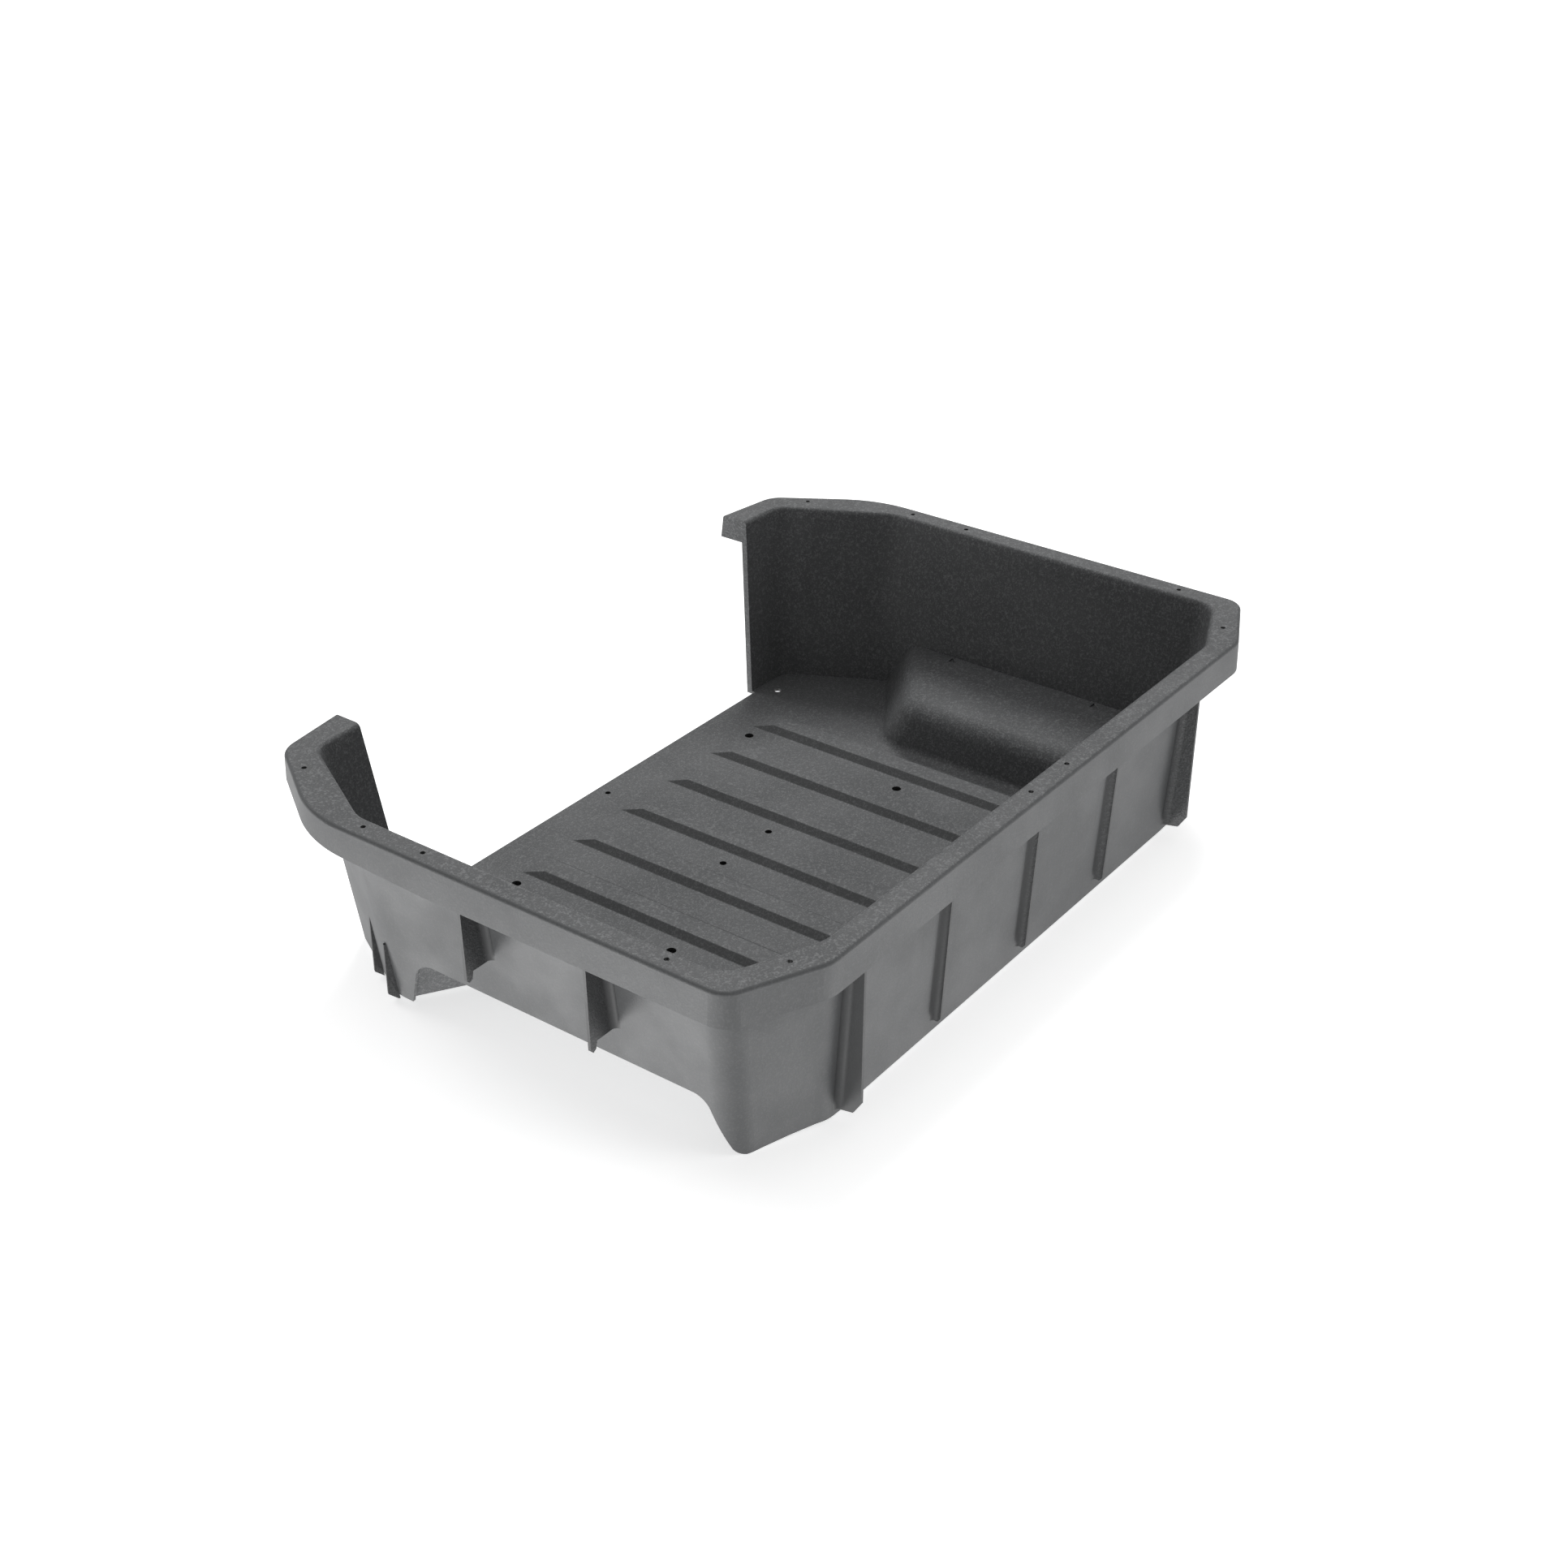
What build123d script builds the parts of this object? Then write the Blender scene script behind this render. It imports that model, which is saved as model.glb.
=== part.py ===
"""Bed liner for a utility vehicle: a drop-in moulded tub with a flanged rim.

Axes: +X to the vehicle's right, +Y to the tailgate, +Z up. Millimetres. Heights in the functions
are above the underside of the floor. build() then lifts the liner onto its feet, so that the origin
of what is exported is at the middle of the footprint, on the plane the liner stands on.
The moulding is made as one skin and then divided into its panels, rails, arches and webs.
"""
import os
from math import cos, radians, sin, tan

from build123d import *

# Driving dimensions
SKIN = 5.0                    # thickness of the floor, the rim and the arches
RIM_TOP = 330.0               # top face of the rim above the underside of the floor
FOOT = 7.0                    # how far the front corners and the rear fins reach below the floor
SKIRT = 55.0                  # height of the rim's outer skirt
SKIRT_REAR = 42.0             # the same at the tailgate ends
SKIRT_FLARE = 2.0             # how far the skirt leans out over its height
RAIL_DEPTH = 20.0             # wall height that belongs to the rim rails
RIM_OUTER_ROUND = 6.0
RIM_INNER_ROUND = 9.0
SKIRT_TAPER = [(100, 0.0), (330, 0.7), (500, 1.0)]  # (y, share of the way to SKIRT_REAR)

# The walls from the middle of the bulkhead round to the tailgate, right half:
# (a point on the inner face at rim height, heading in degrees, draft in degrees, thickness)
WALLS = [
    ((0, -459.5), 0.0, 3.3, 5.0),       # bulkhead
    ((538.6, -459.5), 22.4, 5.5, 5.0),  # front corner
    ((680, 0), 90.0, 7.3, 5.0),         # side
    ((670.6, 271), 118.2, 7.3, 9.0),    # rear corner
    ((487, 447.5), 177.5, 6.8, 11.0),   # return beside the tailgate
]
WALL_ROUNDS = [60, 45, 80, 40]          # between one wall and the next

# The rim's outer edge, the same way round: (a point, heading in degrees)
RIM_EDGE = [
    ((0, -500), 0.0),
    ((577, -500.5), 24.9),
    ((721, 0), 90.0),
    ((683.8, 371), 123.0),
    ((487, 499.5), 172.4),
]
RIM_ROUNDS = [60, 38, 220, 50]

# Tailgate opening
OPENING_TOP = 487.0           # half width at the rim
OPENING_BOTTOM = 455.0        # half width at the floor
FLOOR_REAR = 403.5            # rear edge of the floor

# Floor ribs
RIB_PITCH = 125.0
RIB_COUNT = 7
RIB_BASE = 62.0
RIB_TOP = 37.0
RIB_HEIGHT = 10.0
RIB_RAMP = 40.0
RIB_REAR = 326.0
RIB_ROUND = 3.0               # along the ribs' upper edges
RIB_COVE = 4.0                # along their foot

# Wheel arches
ARCH_INBOARD = 430.0          # foot of the inboard face
ARCH_REAR = 103.5             # foot of the rear face where it meets the inboard face
ARCH_REAR_ANGLE = 31.8        # the rear face slants back towards the side wall
ARCH_HEIGHT = 95.0            # top of the arch above the resting plane
ARCH_DRAFT = 10.0             # of the inboard face
ARCH_REAR_DRAFT = 27.0        # of the rear face, which leans much further
ARCH_CORNER = 62.0
ARCH_ROUND = 40.0
ARCH_COVE = 16.0              # hollow round along the foot, on the floor
CUT_TOP = ARCH_HEIGHT - SKIN
SIDE_CUT = [(222, -20, 0), (186, CUT_TOP, 45), (-349, CUT_TOP, 30), (-386, -FOOT, 22), (-440, -FOOT, 0),
            (-440, -20, 0)]       # (y, z, radius) of the side wall's opening under the arch
CORNER_EDGE = [(470, 0), (520, 3), (560, 1), (600, -3), (628, -FOOT)]  # (x, z) of its lower edge
CORNER_REAR = -380.0          # the front corners' feet end here, at the arch openings
NOTCH_PLACES = [-210.0, 88.0] # small triangular notches in the arch tops
NOTCH_X = 631.0
NOTCH_SIZE = 15.0
NOTCH_DEPTH = 3.0

# Holes: (x, y, diameter), each mirrored to the other side
RIM_HOLES = [
    (632.6, 412.4, 8), (699.5, 221, 8), (699.5, 105.1, 8),
    (699.5, -326.5, 8), (609.3, -455.3, 8), (51.5, -479.4, 8),
]
FLOOR_HOLES = [
    (487, 373.5, 14), (312.5, 308.5, 16), (312.5, -13.5, 16), (62.5, 78.5, 12),
]
DRAIN = (0, 379.5, 10)        # one hole on the centre line

# Webs under the rim
WEB = 5.0
WEB_COVE = 11.0               # hollow rounds where the webs meet the walls
BULKHEAD_WEBS = [-480.0, -240.0, 0.0, 240.0, 480.0]
SIDE_WEBS = [(-197.5, 145.0), (28.5, 165.0)]   # (y, height of the lower edge)
SIDE_WEB_REACH = 715.5
SIDE_WEB_TAIL = (13.0, 16.0)  # width and length of the tail at the outer edge
BULKHEAD_WEB_EDGE = [(-456, 22), (-461, 28), (-475, RIM_TOP - SKIN)]    # (y, z) up the outer edge
OUTER_WEB_EDGE = [(-452, 10), (-473, 14), (-486, 35), (-486, RIM_TOP - SKIN)]  # of the end webs
CORNER_WEBS = [(-4.0, 12.0), (62.0, 13.5)]  # (place along the rear corner wall, reach at its foot)
CORNER_WEB_CHAMFER = (15.0, 12.0)           # width and height of the cut at the fins' feet

# Planes between neighbouring pieces
CORNER_X = 505.0              # bulkhead | front corner
WALL_SPLITS = (-325.0, 150.0) # front corner | side | rear corner
RIM_SPLITS = (-385.0, 243.0)  # front rail | side rail | rear rail
RETURN_X = 566.0              # rear corner | return wall

# Where the selections and cuts reach
FAR = 900.0                   # past everything
INSIDE = (684.0, -462.0, 450.0)   # half width, front and rear of the rim's inner edge
CAP_FRONT = 300.0             # the end caps and return walls lie behind this
RIB_FRONT = -520.0            # past the bulkhead, which cuts the ribs off
RIM_UNDER = RIM_TOP - SKIN
RAIL_BOTTOM = RIM_TOP - RAIL_DEPTH
RIM = [(point, heading, 0.0, 1.0) for point, heading in RIM_EDGE]


def meet(first, second, height, layers):
    """The point where two walls meet at a height, with both moved out by layers of thickness."""
    lines = []
    for (x, y), heading, draft, thickness in (first, second):
        outwards = layers * thickness - (RIM_TOP - height) * tan(radians(draft))
        dx, dy = cos(radians(heading)), sin(radians(heading))
        lines.append((x + dy * outwards, y - dx * outwards, dx, dy))
    (x1, y1, u1, v1), (x2, y2, u2, v2) = lines
    along = ((x2 - x1) * v2 - (y2 - y1) * u2) / (u1 * v2 - v1 * u2)
    return x1 + u1 * along, y1 + v1 * along


def outline(walls, rounds, height, layers=0.0):
    """The closed outline of a set of walls at a height, as a face with rounded corners."""
    right = [meet(a, b, height, layers) for a, b in zip(walls, walls[1:])]
    corners = [(x, y, r + layers * walls[0][3]) for (x, y), r in zip(right, rounds)]
    x, y = meet(walls[-1], ((OPENING_BOTTOM, 0), 90.0, 0.0, 0.0), height, layers)
    corners.append((x, y, 0))
    corners += [(-x, y, r) for x, y, r in reversed(corners)]
    return rounded(corners, height)


def rounded(corners, height=0.0):
    """A face at a height from corners (x, y, radius), taken anticlockwise."""
    arcs = []
    for i, (x, y, r) in enumerate(corners):
        here = Vector(x, y, height)
        before = Vector(corners[i - 1][0], corners[i - 1][1], height)
        after = Vector(corners[(i + 1) % len(corners)][0], corners[(i + 1) % len(corners)][1], height)
        back, ahead = (before - here).normalized(), (after - here).normalized()
        if r == 0:
            arcs.append((here, None, here))
            continue
        half = radians(back.get_angle(ahead) / 2)
        reach = r / tan(half)
        middle = here + (back + ahead).normalized() * (r / sin(half) - r)
        arcs.append((here + back * reach, middle, here + ahead * reach))
    edges = []
    for i, (start, middle, end) in enumerate(arcs):
        if middle is not None:
            edges.append(ThreePointArc(start, middle, end))
        edges.append(Line(end, arcs[(i + 1) % len(arcs)][0]))
    return make_face(Wire(edges))


def between(low, high):
    """The solid between two flat outlines, with straight sides."""
    return loft([low, high], ruled=True)


def cavity(bottom=SKIN):
    """The space inside the walls, from a height up past the rim."""
    return between(outline(WALLS, WALL_ROUNDS, bottom), outline(WALLS, WALL_ROUNDS, RIM_TOP + 30))


def tub_block():
    """The tub's outer shape as a solid block, from the bottom of the feet up to the rim."""
    return between(outline(WALLS, WALL_ROUNDS, -FOOT, 1), outline(WALLS, WALL_ROUNDS, RIM_UNDER, 1))


def rim_block(inset=0.0, below=0.0):
    """The rim's outer shape as a solid block as deep as the skirt, which leans out."""
    low = outline(RIM, RIM_ROUNDS, RIM_TOP - SKIRT - below, SKIRT_FLARE - inset)
    return between(low, outline(RIM, RIM_ROUNDS, RIM_TOP - inset, -inset))


def rim_skin():
    """The rim's plate and skirt, without the wall under it."""
    return rim_block() - rim_block(inset=SKIN, below=1.0)


def slab(x0, x1, y0, y1, z0, z1):
    centre = ((x0 + x1) / 2, (y0 + y1) / 2, (z0 + z1) / 2)
    return Pos(*centre) * Box(x1 - x0, y1 - y0, z1 - z0)


def both(solid):
    """A right-hand solid and its mirror image."""
    return solid, mirror(solid, about=Plane.YZ)


def opening(margin=0.0):
    """The tailgate opening, narrower at the floor. margin makes it wider by that much a side."""
    lean = (OPENING_TOP - OPENING_BOTTOM) / (RIM_TOP - SKIN)
    below, above = -40.0, RIM_TOP + 40
    low = OPENING_BOTTOM + (below - SKIN) * lean + margin
    high = OPENING_BOTTOM + (above - SKIN) * lean + margin
    profile = Plane.XZ * make_face(Polyline((-low, below), (low, below), (high, above), (-high, above),
                                            close=True))
    return Pos(0, FAR, 0) * extrude(profile, 600)


def arch_block(inset=0.0):
    """The right wheel arch's upper surface as a solid block that runs out past the walls."""
    slope = tan(radians(ARCH_REAR_ANGLE))

    def plan(height):
        back = inset + height * tan(radians(ARCH_DRAFT))
        rear_back = inset + height * tan(radians(ARCH_REAR_DRAFT))
        x = ARCH_INBOARD + back
        y = ARCH_REAR + back * slope - rear_back / cos(radians(ARCH_REAR_ANGLE))
        far_y = y + (FAR - x) * slope
        return rounded([(x, -FAR, 0), (FAR, -FAR, 0), (FAR, far_y, 0), (x, y, ARCH_CORNER - inset)], height)

    top = ARCH_HEIGHT - inset
    block = between(plan(0), plan(top))
    upper = block.edges().filter_by_position(Axis.Z, top - 0.01, top + 0.01)
    crown = [e for e in upper if e.center().X < FAR - 1 and e.center().Y > -FAR + 1]
    return fillet(crown, ARCH_ROUND - inset)


def arch_flare():
    """The hollow round along the right wheel arch's foot, as a solid that lies on the floor."""
    block = arch_block()
    ground = slab(-FAR, FAR, -FAR - 1, FAR, -30, SKIN)
    shape = block + ground
    foot = [e for e in shape.edges().filter_by_position(Axis.Z, SKIN - 0.01, SKIN + 0.01)
            if e.center().X < FAR - 1 and abs(e.center().Y) < FAR - 1 and e.center().X > -FAR + 1]
    return fillet(foot, ARCH_COVE) - ground - block


def lower_edge_cut():
    """What is cut away from the walls' lower edge, right side: the opening under the wheel arch,
    and all that lies below the floor behind and beside the front corner's foot."""
    side = Pos(600, 0, 0) * extrude(Plane.YZ * rounded(SIDE_CUT), 200)
    edge = Polyline((0, -20), (0, 0), *CORNER_EDGE, (CORNER_EDGE[-1][0], -20), close=True)
    front = Pos(0, CORNER_REAR, 0) * extrude(Plane.XZ * make_face(edge), 200)
    return side + front + slab(0, FAR, CORNER_REAR, FAR, -20, 0)


def rib(lower=0.0):
    """One floor rib on the centre line: a flat-topped ridge with a ramp at the tailgate end.
    lower gives the same shape moved down and in by that much, which makes the hollow below."""
    def plan(width, rear, z):
        half, end = width / 2 - lower, rear - lower
        return rounded([(-half, RIB_FRONT, 0), (half, RIB_FRONT, 0), (half, end, 0), (-half, end, 0)], z)

    base = SKIN - lower
    ridge = between(plan(RIB_BASE, RIB_REAR, base), plan(RIB_TOP, RIB_REAR - RIB_RAMP, base + RIB_HEIGHT))
    if lower:
        return ridge
    crest = ridge.edges().filter_by_position(Axis.Z, base + 0.01, base + RIB_HEIGHT + 0.01)
    ridge = fillet([e for e in crest if e.center().Y > RIB_FRONT + 1], RIB_ROUND)
    ground = slab(-RIB_PITCH / 2 + 1, RIB_PITCH / 2 - 1, RIB_FRONT, RIB_REAR + 30, 0, base)
    ridge += ground
    foot = [e for e in ridge.edges().filter_by_position(Axis.Z, base - 0.01, base + 0.01)
            if abs(e.center().X) < RIB_PITCH / 2 - 2 and RIB_FRONT + 1 < e.center().Y < RIB_REAR + 20]
    return fillet(foot, RIB_COVE) - ground


def drill(solid, holes, mirrored=True):
    for x, y, diameter in holes:
        for side in ((1, -1) if mirrored else (1,)):
            solid -= Pos(side * x, y, 0) * Cylinder(diameter / 2, 4 * FAR)
    return solid


def make_rim():
    """The rim's plate, skirt and the top of the walls, all the way round."""
    wall_top = tub_block() & slab(-FAR, FAR, -FAR, FAR, RAIL_BOTTOM, RIM_TOP)
    rim = rim_skin() + wall_top - cavity()
    inner, outer = rim_edges(rim)
    rim = fillet(outer, RIM_OUTER_ROUND)
    inner, outer = rim_edges(rim)
    return fillet(inner, RIM_INNER_ROUND)


def rim_edges(rim):
    """The edges of the rim's top face: those on the tub's side, and the others."""
    half, front, rear = INSIDE
    top = rim.edges().filter_by_position(Axis.Z, RIM_TOP - 0.01, RIM_TOP + 0.01)
    inner = [e for e in top if abs(e.center().X) < half and front < e.center().Y < rear]
    return inner, [e for e in top if e not in inner]


def make_walls():
    """All the walls below the rim rails, with the wheel arch openings cut in them."""
    walls = tub_block() - cavity(bottom=-20)
    walls &= slab(-FAR, FAR, -FAR, FAR, -FOOT, RAIL_BOTTOM)
    for cut in both(lower_edge_cut()):
        walls -= cut
    return walls - opening(SKIN)


def make_floor():
    """The floor plate out to the walls' outer face, with its hollow ribs."""
    floor = tub_block() & slab(-FAR, FAR, -FAR, FLOOR_REAR + 60, 0, SKIN)
    floor -= slab(-FAR, FAR, FLOOR_REAR, FAR, -10, 20) & opening()
    inside = cavity(bottom=0)
    hollow = Pos(0, SKIN, 0) * cavity(bottom=-10)
    first = -(RIB_COUNT - 1) / 2 * RIB_PITCH
    for i in range(RIB_COUNT):
        place = Pos(first + i * RIB_PITCH, 0, 0)
        floor += (place * rib()) & inside
        floor -= place * rib(lower=SKIN) & hollow
    for block in both(arch_block()):
        floor -= block
    floor = drill(floor, FLOOR_HOLES)
    return drill(floor, [DRAIN], mirrored=False)


def make_arch():
    """The right wheel arch: a skin with a large soft edge, open below."""
    arch = (arch_block() + arch_flare() - arch_block(SKIN)) & cavity(bottom=0)
    for y in NOTCH_PLACES:
        notch = rounded([(NOTCH_X, y - NOTCH_SIZE, 0), (NOTCH_X + NOTCH_SIZE, y, 0), (NOTCH_X, y, 0)],
                        ARCH_HEIGHT - NOTCH_DEPTH)
        arch -= extrude(notch, 20)
    return arch


def make_end_cap():
    """The closed end of the right return wall and rim, beside the tailgate opening."""
    wall = tub_block() & slab(0, FAR, CAP_FRONT, FAR, SKIN, RAIL_BOTTOM)
    low = RIM_TOP - SKIRT_REAR
    head = rim_block(inset=SKIN, below=1.0) & slab(0, FAR, CAP_FRONT, FAR, low, RIM_UNDER)
    head -= slab(0, FAR, CAP_FRONT, FAR, RAIL_BOTTOM, RIM_UNDER) & tub_block()
    return (wall + head - cavity(bottom=-20)) & (opening(SKIN) - opening())


def make_bulkhead_web(x):
    """One upright web on the bulkhead's outer face, running up under the rim."""
    edge = OUTER_WEB_EDGE if abs(x) > CORNER_X - 50 else BULKHEAD_WEB_EDGE
    points = [(-400, edge[0][1]), *edge, (-400, RIM_UNDER)]
    plate = extrude(Plane.YZ * make_face(Polyline(*points, close=True)), WEB / 2, both=True)
    web = Pos(x, 0, 0) * plate - tub_block()
    for side in (1, -1):
        web += web_cove(WALLS[0], (x + side * WEB / 2, WALLS[0][0][1]), side, edge[0][1] + 2)
    return web


def web_cove(wall, root, side, low):
    """The hollow round beside a web: from a height up to the rim, along the wall's outer face.
    root is the corner of web and wall at rim height, and side says which way the wall runs off."""
    _, heading, draft, thickness = wall
    run = Vector(cos(radians(heading)), sin(radians(heading)), 0) * side
    out = Vector(sin(radians(heading)), -cos(radians(heading)), 0)

    def corner(height):
        lean = thickness - (RIM_TOP - height) * tan(radians(draft))
        return Vector(*root, height) + out * lean

    foot, head = corner(low), corner(RIM_UNDER)
    up = (head - foot).normalized()
    square = Plane(origin=foot, x_dir=run, z_dir=up)
    # the hollow's outline in the square between wall and web, whichever way its second axis turns
    turn = 1 if square.y_dir.dot(out) > 0 else -1
    r = WEB_COVE
    bulge = r - r * cos(radians(45))
    arc = ThreePointArc((r, 0), (bulge, turn * bulge), (0, turn * r))
    face = make_face(Wire([Line((0, 0), (r, 0)), arc, Line((0, turn * r), (0, 0))]))
    cove = extrude(square * face, (head - foot).length, dir=up)
    return cove - tub_block() - slab(-FAR, FAR, -FAR, FAR, RIM_UNDER, RIM_TOP + 50)


def make_side_web(y, low):
    """One upright web on the right side wall: a plate with a short tail at its outer edge."""
    width, length = SIDE_WEB_TAIL
    reach = SIDE_WEB_REACH
    foot = reach - 4
    points = [(600, low), (foot - width, low), (foot - width + 2, low - length + 4), (foot - 5, low - length),
              (foot, low - length + 5), (reach, RIM_TOP - SKIRT), (reach, RIM_UNDER), (600, RIM_UNDER)]
    plate = extrude(Plane.XZ * make_face(Polyline(*points, close=True)), WEB / 2, both=True)
    web = Pos(0, y, 0) * plate - tub_block()
    for side in (1, -1):
        web += web_cove(WALLS[2], (WALLS[2][0][0], y + side * WEB / 2), side, low + 2)
    return web


def make_corner_web(along, reach):
    """One triangular fin low on the right rear corner wall, square to the wall, with its foot cut
    off at a slant."""
    wall = WALLS[3]
    heading = wall[1]
    x, y = meet(WALLS[2], wall, 0, 1)
    place = Pos(x + along * cos(radians(heading)), y + along * sin(radians(heading)), 0)
    tip = reach / tan(radians(wall[2]))
    width, height = CORNER_WEB_CHAMFER
    points = [(-25, -FOOT), (reach - width, -FOOT), (reach, height - FOOT), (reach, tip), (-25, tip)]
    plate = extrude(Plane.XZ * make_face(Polyline(*points, close=True)), WEB / 2, both=True)
    return place * Rot(0, 0, heading - 90) * plate - tub_block()


def taper_skirt(rim):
    """The skirt gets shallower along the rear corners, towards the tailgate."""
    low, rise = RIM_TOP - SKIRT, SKIRT - SKIRT_REAR
    line = [(y, low + share * rise) for y, share in SKIRT_TAPER]
    ends = [(FAR, low + rise), (FAR, low - SKIRT), (SKIRT_TAPER[0][0], low - SKIRT)]
    wedge = make_face(Polyline(*line, *ends, close=True))
    return rim - extrude(Plane.YZ * wedge, FAR, both=True)


def divide(solid, splits):
    """Cuts a ring of walls or rim by planes across Y into its front, and its right side and rear."""
    front, rear = splits
    z = (-50, RIM_TOP + 50)
    return [
        solid & slab(-FAR, FAR, -FAR, front, *z),
        solid & slab(0, FAR, front, rear, *z),
        solid & slab(0, FAR, rear, FAR, *z),
    ]


def build():
    """Every piece of the liner by name."""
    parts = {}

    def add_pair(name, right):
        parts[name + "_right"], parts[name + "_left"] = both(right)

    rim = drill(taper_skirt(make_rim()) - opening(), RIM_HOLES)
    skin = rim_skin()
    floor = make_floor()
    walls = make_walls() - floor

    parts["floor_pan"] = floor
    front, side, rear = divide(walls, WALL_SPLITS)
    parts["bulkhead_wall"] = front & slab(-CORNER_X, CORNER_X, -FAR, FAR, -50, 400)
    add_pair("front_corner_wall", front & slab(CORNER_X, FAR, -FAR, FAR, -50, 400))
    add_pair("side_wall", side)
    add_pair("rear_corner_wall", rear & slab(RETURN_X, FAR, -FAR, FAR, -50, 400))
    add_pair("return_wall", rear & slab(0, RETURN_X, -FAR, FAR, -50, 400))
    add_pair("tailgate_end_cap", make_end_cap())
    add_pair("wheel_arch", make_arch())

    front, side, rear = divide(rim, RIM_SPLITS)
    parts["front_rim_rail"] = front
    add_pair("side_rim_rail", side)
    add_pair("rear_rim_rail", rear)

    for number, x in enumerate(BULKHEAD_WEBS, 1):
        parts[f"bulkhead_web_{number}"] = make_bulkhead_web(x) - skin
    for place, (y, low) in zip(("front", "rear"), SIDE_WEBS):
        add_pair(f"side_web_{place}", make_side_web(y, low) - skin)
    for place, (along, reach) in zip(("front", "rear"), CORNER_WEBS):
        add_pair(f"corner_web_{place}", make_corner_web(along, reach) - floor)
    return {name: Pos(0, 0, FOOT) * solid for name, solid in parts.items()}


parts = build()
os.makedirs("parts", exist_ok=True)
for name, solid in parts.items():
    export_step(solid, f"parts/{name}.step")
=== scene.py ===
"""The look of a moulded bed liner for a utility vehicle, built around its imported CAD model."""
from math import pi, radians

import bmesh
import bpy
from mathutils import Matrix, Vector


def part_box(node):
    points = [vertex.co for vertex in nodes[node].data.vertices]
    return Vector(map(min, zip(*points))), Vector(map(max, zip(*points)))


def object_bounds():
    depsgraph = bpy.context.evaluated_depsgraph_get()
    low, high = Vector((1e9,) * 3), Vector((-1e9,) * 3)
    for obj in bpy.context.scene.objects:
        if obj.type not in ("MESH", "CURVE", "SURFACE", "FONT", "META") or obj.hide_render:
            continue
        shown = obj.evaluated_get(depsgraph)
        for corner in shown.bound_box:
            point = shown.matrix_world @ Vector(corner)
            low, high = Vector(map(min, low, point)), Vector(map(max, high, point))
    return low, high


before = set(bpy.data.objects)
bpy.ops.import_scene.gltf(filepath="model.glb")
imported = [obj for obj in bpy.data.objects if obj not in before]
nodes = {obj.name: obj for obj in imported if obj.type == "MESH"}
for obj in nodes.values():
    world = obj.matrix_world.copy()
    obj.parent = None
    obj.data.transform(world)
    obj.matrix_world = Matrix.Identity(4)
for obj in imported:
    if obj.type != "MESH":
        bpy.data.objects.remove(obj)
cad_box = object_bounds()

# Camera
CAMERA_PLACE = (-2.493, -1.8215, 1.936)
CAMERA_YAW = 53.83          # to the right of +Y
CAMERA_PITCH = 29.90        # downwards
CAMERA_ROLL = 0.346
CAMERA_LENS = 50.656        # mm, on a sensor of this width
SENSOR_WIDTH = 36
CAMERA_REACH = 200

# Light: (name, compass direction it comes from, elevation, softness in degrees, strength)
SUNS = [
    ("overhead", 60, 80, 50, 0.5),
    ("back", 60, 54, 20, 1.5),
    ("rear", 0, 40, 25, 0.55),
    ("front_fill", 150, 30, 30, 0.45),
    ("rear_left", 330, -50, 20, 2.1),
    ("left", 265, -50, 20, 1.4),
    ("front_right", 135, -50, 20, 1.45),
]
SKY_STRENGTH = 0.32
BACKDROP_STRENGTH = 1.0

# Stage floor, and the sheet on it between the wheel arches, painted darker as shade
FLOOR_SIZE = 60.0
FLOOR_PAINT = 0.9
FLOOR_GLOW = 0.6
SHADE_HALF_WIDTH = 0.42
SHADE_INSET = 0.03          # how far it stays inside the floor pan's ends
SHADE_HEIGHT = 0.0005
SHADE_PAINT = 0.3

# Plastic
CHARCOAL = (0.074, 0.076, 0.078, 1)
CHARCOAL_DEEP = (0.046, 0.048, 0.050, 1)
CHARCOAL_PALE = (0.16, 0.163, 0.166, 1)
# The webs' base colour is painted shade: darker than the rest so that their faces look shaded
WEB_SHADE_CHARCOAL = (0.040, 0.041, 0.042, 1)
# Painted shade on the sides of the floor's ribs
FLANK_SHADE_CHARCOAL = (0.030, 0.031, 0.032, 1)
# Painted shade on the walls of holes through the rim and floor
HOLE_SHADE_CHARCOAL = (0.016, 0.016, 0.017, 1)
PLATE = 0.0052              # a little over the thickness of the rim and the floor
PLATE_MARGIN = 0.001
ROUGH_SPREAD = 0.05         # how far roughness drifts either way across a face
ROUGH_GRAIN = 0.08          # and how much the grain adds
SPECULAR = 0.4

# Grain and patches, in cycles per metre
GRAIN_FINE = 340
GRAIN_COARSE = 150
GRAIN_BUMP = 0.8
GRAIN_HEIGHT = 0.002
SMOOTH_GRAIN = 0.2          # share of the grain left on outer faces
FLANK_GRAIN = 0.3           # and on the ribs' sides
PATCH_SCALE = 5.5
PATCH_DEPTH = 0.35
STREAK_SCALE = (160, 5, 30)
STREAK_DEPTH = 0.2


def add_group(name, inputs, outputs):
    """A new shader group with its input and output nodes."""
    group = bpy.data.node_groups.new(name, "ShaderNodeTree")
    for label, kind, value in inputs:
        socket = group.interface.new_socket(label, in_out="INPUT", socket_type=kind)
        if value is not None:
            socket.default_value = value
    for label, kind in outputs:
        group.interface.new_socket(label, in_out="OUTPUT", socket_type=kind)
    return group, group.nodes.new("NodeGroupInput"), group.nodes.new("NodeGroupOutput")


def maths(tree, operation, first, second=None):
    """A Math node on one or two values or sockets. Gives its output."""
    node = tree.nodes.new("ShaderNodeMath")
    node.operation = operation
    for socket, value in zip(node.inputs, (first, second)):
        if isinstance(value, bpy.types.NodeSocket):
            tree.links.new(value, socket)
        elif value is not None:
            socket.default_value = value
    return node.outputs[0]


def blend(tree, first, second, share):
    """A share of the first value and the rest of the second."""
    return maths(tree, "ADD", maths(tree, "MULTIPLY", first, share),
                 maths(tree, "MULTIPLY", second, 1 - share))


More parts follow.
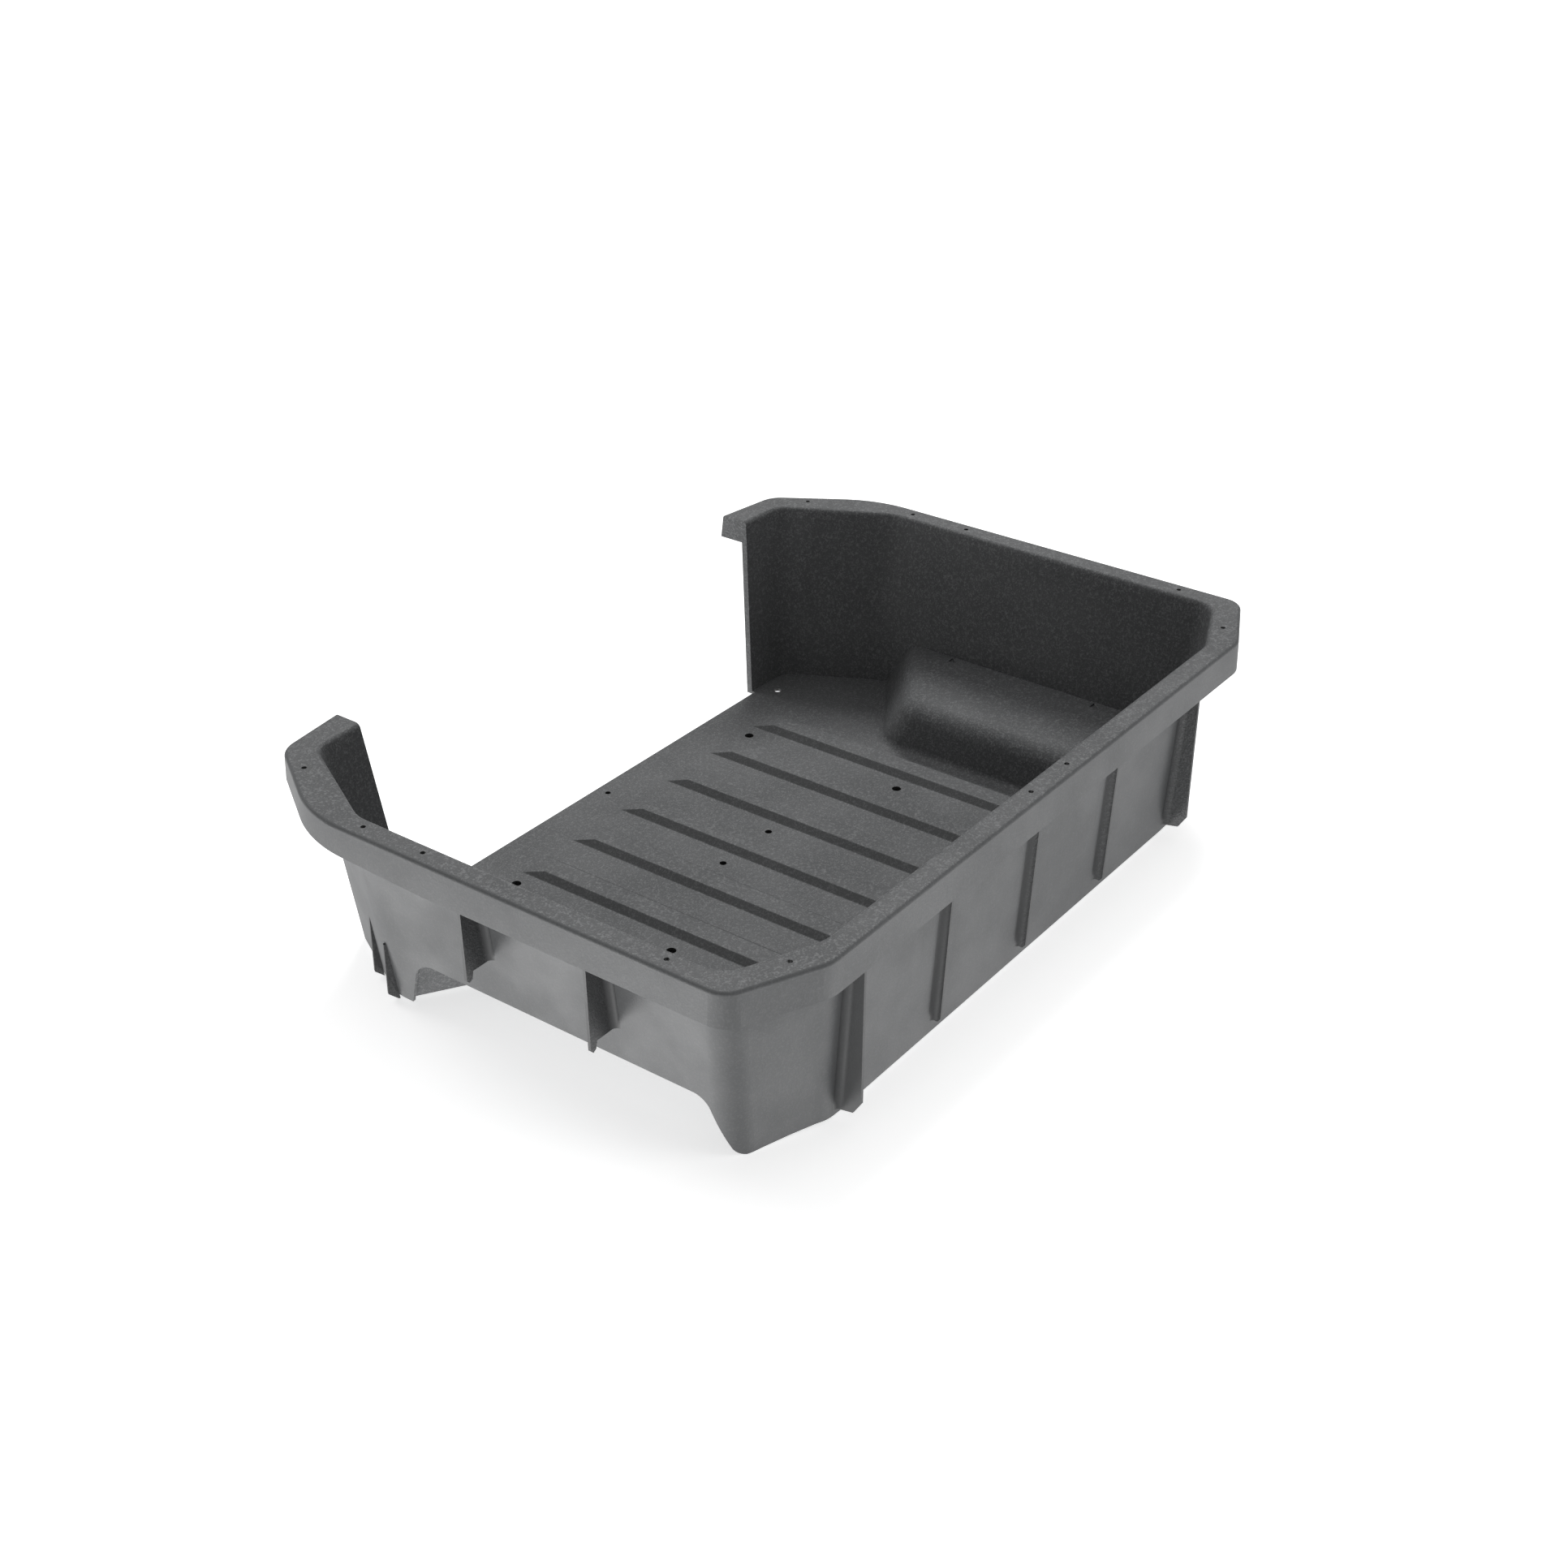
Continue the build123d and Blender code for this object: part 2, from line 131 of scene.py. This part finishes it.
def noise(tree, place, scale, detail, rough):
    """A noise pattern on a set of coordinates, from 0 to 1 about 0.5."""
    node = tree.nodes.new("ShaderNodeTexNoise")
    node.inputs["Scale"].default_value = scale
    node.inputs["Detail"].default_value = detail
    node.inputs["Roughness"].default_value = rough
    tree.links.new(place, node.inputs["Vector"])
    return node.outputs["Fac"]


def stretch(tree, place, scale):
    """Coordinates stretched by a scale along each axis."""
    node = tree.nodes.new("ShaderNodeMapping")
    node.inputs["Scale"].default_value = scale
    tree.links.new(place, node.inputs["Vector"])
    return node.outputs["Vector"]


def remap(tree, value, low, high, to_low=0.0, to_high=1.0):
    """A smooth step from one range to another."""
    node = tree.nodes.new("ShaderNodeMapRange")
    node.interpolation_type = "SMOOTHSTEP"
    tree.links.new(value, node.inputs["Value"])
    limits = {"From Min": low, "From Max": high, "To Min": to_low, "To Max": to_high}
    for label, number in limits.items():
        node.inputs[label].default_value = number
    return node.outputs["Result"]


def mix_colour(tree, factor, first, second):
    """Two colours or sockets mixed by a factor."""
    node = tree.nodes.new("ShaderNodeMix")
    node.data_type = "RGBA"
    sockets = [s for s in node.inputs if s.type == "RGBA"]
    tree.links.new(factor, node.inputs[0])
    for socket, value in zip(sockets, (first, second)):
        if isinstance(value, bpy.types.NodeSocket):
            tree.links.new(value, socket)
        else:
            socket.default_value = value
    return next(s for s in node.outputs if s.type == "RGBA")


def split(tree, vector):
    """The X, Y and Z of a vector, by name."""
    node = tree.nodes.new("ShaderNodeSeparateXYZ")
    tree.links.new(vector, node.inputs[0])
    return node.outputs


def facing(tree):
    """The direction that the surface faces."""
    return tree.nodes.new("ShaderNodeNewGeometry").outputs["Normal"]


def make_grain():
    """The pebbled skin of the mould: a height and a speckle."""
    group, given, result = add_group(
        "moulded_grain", [("Place", "NodeSocketVector", None)],
        [("Height", "NodeSocketFloat"), ("Speckle", "NodeSocketFloat")])
    fine = noise(group, given.outputs["Place"], GRAIN_FINE, 2, 0.6)
    coarse = noise(group, given.outputs["Place"], GRAIN_COARSE, 2, 0.5)
    group.links.new(blend(group, fine, coarse, 0.6), result.inputs["Height"])
    spots = blend(group, fine, coarse, 0.65)
    group.links.new(remap(group, spots, 0.46, 0.66), result.inputs["Speckle"])
    return group


def make_outside():
    """A mask of the liner's outer faces: 1 where a face looks away from the middle, 0 inside."""
    group, given, result = add_group("outer_faces", [("Place", "NodeSocketVector", None)],
                                     [("Mask", "NodeSocketFloat")])
    flat = group.nodes.new("ShaderNodeVectorMath")
    flat.operation = "MULTIPLY"
    flat.inputs[1].default_value = (1, 1, 0)
    group.links.new(given.outputs["Place"], flat.inputs[0])
    dot = group.nodes.new("ShaderNodeVectorMath")
    dot.operation = "DOT_PRODUCT"
    group.links.new(flat.outputs[0], dot.inputs[0])
    group.links.new(facing(group), dot.inputs[1])
    group.links.new(remap(group, dot.outputs["Value"], 0.1, 0.35), result.inputs["Mask"])
    return group


def make_flanks():
    """A mask of faces that slant to the left or right as well as up. On the floor pan those are
    the sides of its ribs, which are painted darker as shade and given less grain."""
    group, _, result = add_group("rib_flanks_painted_shade", [], [("Mask", "NodeSocketFloat")])
    normal = split(group, facing(group))
    sideways = remap(group, maths(group, "ABSOLUTE", normal["X"]), 0.15, 0.5)
    upwards = remap(group, normal["Z"], 0.3, 0.5)
    group.links.new(maths(group, "MULTIPLY", sideways, upwards), result.inputs["Mask"])
    return group


def make_hole_walls():
    """A mask of the walls of the holes through a level plate, to paint them dark as shade: upright
    faces between two heights.
    The plate's own end at the tailgate is upright too, but faces straight back, so it is left out."""
    group, given, result = add_group(
        "hole_walls",
        [("Place", "NodeSocketVector", None),
         ("Low", "NodeSocketFloat", 0.0),
         ("High", "NodeSocketFloat", 0.0)],
        [("Mask", "NodeSocketFloat")])
    normal = split(group, facing(group))
    height = split(group, given.outputs["Place"])["Z"]
    tests = [maths(group, "LESS_THAN", maths(group, "ABSOLUTE", normal["Z"]), 0.03),
             maths(group, "GREATER_THAN", height, given.outputs["Low"]),
             maths(group, "LESS_THAN", height, given.outputs["High"]),
             maths(group, "LESS_THAN", normal["Y"], 0.9999)]
    mask = tests[0]
    for test in tests[1:]:
        mask = maths(group, "MULTIPLY", mask, test)
    group.links.new(mask, result.inputs["Mask"])
    return group


GRAIN = make_grain()
OUTSIDE = make_outside()
FLANK_SHADE_MASK = make_flanks()
HOLE_WALLS = make_hole_walls()


def place_group(tree, group, **sockets):
    """A group node in a material with its sockets linked or set."""
    node = tree.nodes.new("ShaderNodeGroup")
    node.node_tree = group
    for label, value in sockets.items():
        if isinstance(value, bpy.types.NodeSocket):
            tree.links.new(value, node.inputs[label])
        else:
            node.inputs[label].default_value = value
    return node


def make_plastic(name, base, pale, rough, speckle_share=0.75, flank_shade_share=None, plate=None):
    """Moulded plastic, grained inside and on top, and smoother on its outer faces. The flank share is
    how much painted shade darkens the sides of ribs. plate gives the heights of the underside and top
    of a level plate with holes, whose walls are painted dark as shade."""
    material = bpy.data.materials.new(name)
    material.use_nodes = True
    tree = material.node_tree
    shader = tree.nodes["Principled BSDF"]
    place = tree.nodes.new("ShaderNodeTexCoord").outputs["Object"]
    grain = place_group(tree, GRAIN, Place=place)
    outer = place_group(tree, OUTSIDE, Place=place).outputs["Mask"]
    strength = remap(tree, outer, 0, 1, 1.0, SMOOTH_GRAIN)

    patches = noise(tree, place, PATCH_SCALE, 3, 0.6)
    streaks = noise(tree, stretch(tree, place, STREAK_SCALE), 1.0, 2, 0.5)
    streaks = maths(tree, "MULTIPLY", remap(tree, streaks, 0.5, 0.8), STREAK_DEPTH)
    colour = mix_colour(tree, remap(tree, patches, 0.35, 0.7, 0.0, PATCH_DEPTH), base, CHARCOAL_DEEP)
    colour = mix_colour(tree, streaks, colour, CHARCOAL_DEEP)
    # The sides of the ribs are painted darker as shade, with less grain
    if flank_shade_share:
        flank_shade = maths(tree, "MULTIPLY", place_group(tree, FLANK_SHADE_MASK).outputs["Mask"], flank_shade_share)
        colour = mix_colour(tree, flank_shade, colour, FLANK_SHADE_CHARCOAL)
        strength = maths(tree, "MULTIPLY", strength, remap(tree, flank_shade, 0, 1, 1.0, FLANK_GRAIN))
    speckle = maths(tree, "MULTIPLY", grain.outputs["Speckle"], strength)
    colour = mix_colour(tree, maths(tree, "MULTIPLY", speckle, speckle_share), colour, pale)
    # The walls of the holes are painted dark as shade
    if plate:
        holes = place_group(tree, HOLE_WALLS, Place=place, Low=plate[0], High=plate[1])
        colour = mix_colour(tree, holes.outputs["Mask"], colour, HOLE_SHADE_CHARCOAL)
    tree.links.new(colour, shader.inputs["Base Color"])

    drift = remap(tree, patches, 0.3, 0.7, rough - ROUGH_SPREAD, rough + ROUGH_SPREAD)
    added = maths(tree, "MULTIPLY", grain.outputs["Height"], ROUGH_GRAIN)
    tree.links.new(maths(tree, "ADD", drift, added), shader.inputs["Roughness"])
    bump = tree.nodes.new("ShaderNodeBump")
    bump.inputs["Strength"].default_value = GRAIN_BUMP
    bump.inputs["Distance"].default_value = GRAIN_HEIGHT
    tree.links.new(maths(tree, "MULTIPLY", grain.outputs["Height"], strength), bump.inputs["Height"])
    tree.links.new(bump.outputs["Normal"], shader.inputs["Normal"])
    shader.inputs["Specular IOR Level"].default_value = SPECULAR
    return material


def dress(node, material):
    """Gives a CAD node its material."""
    slots = nodes[node].data.materials
    slots.clear()
    slots.append(material)


def add_camera():
    """The camera, by its place and its turns."""
    data = bpy.data.cameras.new("camera")
    data.lens = CAMERA_LENS
    data.sensor_width = SENSOR_WIDTH
    data.clip_end = CAMERA_REACH
    camera = bpy.data.objects.new("camera", data)
    turn = Matrix.Rotation(radians(-CAMERA_YAW), 4, "Z")
    turn = turn @ Matrix.Rotation(pi / 2 - radians(CAMERA_PITCH), 4, "X")
    turn = turn @ Matrix.Rotation(radians(CAMERA_ROLL), 4, "Z")
    camera.matrix_world = Matrix.Translation(CAMERA_PLACE) @ turn
    bpy.context.scene.collection.objects.link(camera)
    bpy.context.scene.camera = camera


def add_suns():
    """Soft light from above, and from below the floor's level on both sides."""
    for name, compass, elevation, softness, strength in SUNS:
        data = bpy.data.lights.new(name, "SUN")
        data.angle = radians(softness)
        data.energy = strength
        lamp = bpy.data.objects.new(name, data)
        turn = Matrix.Rotation(radians(-compass), 4, "Z")
        lamp.matrix_world = turn @ Matrix.Rotation(radians(elevation - 90), 4, "X")
        bpy.context.scene.collection.objects.link(lamp)


def add_sky():
    """A faint even light from all round. The backdrop that the camera sees is plain white."""
    world = bpy.data.worlds.new("studio")
    world.use_nodes = True
    tree = world.node_tree
    light = tree.nodes["Background"]
    backdrop = tree.nodes.new("ShaderNodeBackground")
    for shader, strength in ((light, SKY_STRENGTH), (backdrop, BACKDROP_STRENGTH)):
        shader.inputs["Color"].default_value = (1, 1, 1, 1)
        shader.inputs["Strength"].default_value = strength
    mix = tree.nodes.new("ShaderNodeMixShader")
    seen = tree.nodes.new("ShaderNodeLightPath").outputs["Is Camera Ray"]
    tree.links.new(seen, mix.inputs["Fac"])
    tree.links.new(light.outputs["Background"], mix.inputs[1])
    tree.links.new(backdrop.outputs["Background"], mix.inputs[2])
    tree.links.new(mix.outputs["Shader"], tree.nodes["World Output"].inputs["Surface"])
    bpy.context.scene.world = world


def add_sheet(name, low, high, height, base, glow, shades):
    """A flat rectangle of the stage at a height, with or without a shadow."""
    shape = bmesh.new()
    bmesh.ops.create_grid(shape, x_segments=1, y_segments=1, size=0.5)
    bmesh.ops.scale(shape, vec=(high[0] - low[0], high[1] - low[1], 1), verts=shape.verts)
    middle = ((low[0] + high[0]) / 2, (low[1] + high[1]) / 2, height)
    bmesh.ops.translate(shape, vec=middle, verts=shape.verts)
    mesh = bpy.data.meshes.new(name)
    shape.to_mesh(mesh)
    shape.free()
    paint = bpy.data.materials.new(name + "_paint")
    paint.use_nodes = True
    shader = paint.node_tree.nodes["Principled BSDF"]
    shader.inputs["Base Color"].default_value = (base, base, base, 1)
    shader.inputs["Roughness"].default_value = 0.9
    shader.inputs["Specular IOR Level"].default_value = 0.0
    shader.inputs["Emission Color"].default_value = (1, 1, 1, 1)
    shader.inputs["Emission Strength"].default_value = glow
    mesh.materials.append(paint)
    sheet = bpy.data.objects.new(name, mesh)
    sheet.visible_shadow = shades
    bpy.context.scene.collection.objects.link(sheet)


def add_floor():
    """A plain pale floor that casts no shadow, so that the low lights reach through it, and a sheet
    painted darker as shade that keeps them out from under the floor pan."""
    low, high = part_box("floor_pan")
    far = FLOOR_SIZE / 2
    ground = cad_box[0][2]
    add_sheet("floor", (-far, -far), (far, far), ground, FLOOR_PAINT, FLOOR_GLOW, False)
    add_sheet("floor_shade", (-SHADE_HALF_WIDTH, low[1] + SHADE_INSET),
              (SHADE_HALF_WIDTH, high[1] - SHADE_INSET), ground + SHADE_HEIGHT, SHADE_PAINT, 0.0, True)


bpy.context.scene.view_settings.view_transform = "Standard"
add_camera()
add_suns()
add_sky()
add_floor()

rim_top = cad_box[1][2]
floor_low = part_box("floor_pan")[0][2]
grained = make_plastic("grained_charcoal_walls", CHARCOAL, CHARCOAL_PALE, 0.62)
treads = make_plastic("grained_charcoal_floor", CHARCOAL, CHARCOAL_PALE, 0.6, flank_shade_share=0.8,
                      plate=(floor_low - PLATE_MARGIN, floor_low + PLATE))
rim = make_plastic("grained_charcoal_rim", CHARCOAL, CHARCOAL_PALE, 0.55, speckle_share=0.9,
                   plate=(rim_top - PLATE, rim_top))
# The webs get a darker copy of the plastic, which is painted shade on their faces
web_shade_plastic = make_plastic("shade_darkened_charcoal_webs", WEB_SHADE_CHARCOAL, CHARCOAL, 0.55)
for node in nodes:
    if "_web_" in node:
        dress(node, web_shade_plastic)
    elif node == "floor_pan":
        dress(node, treads)
    else:
        dress(node, rim if "_rim_rail" in node else grained)
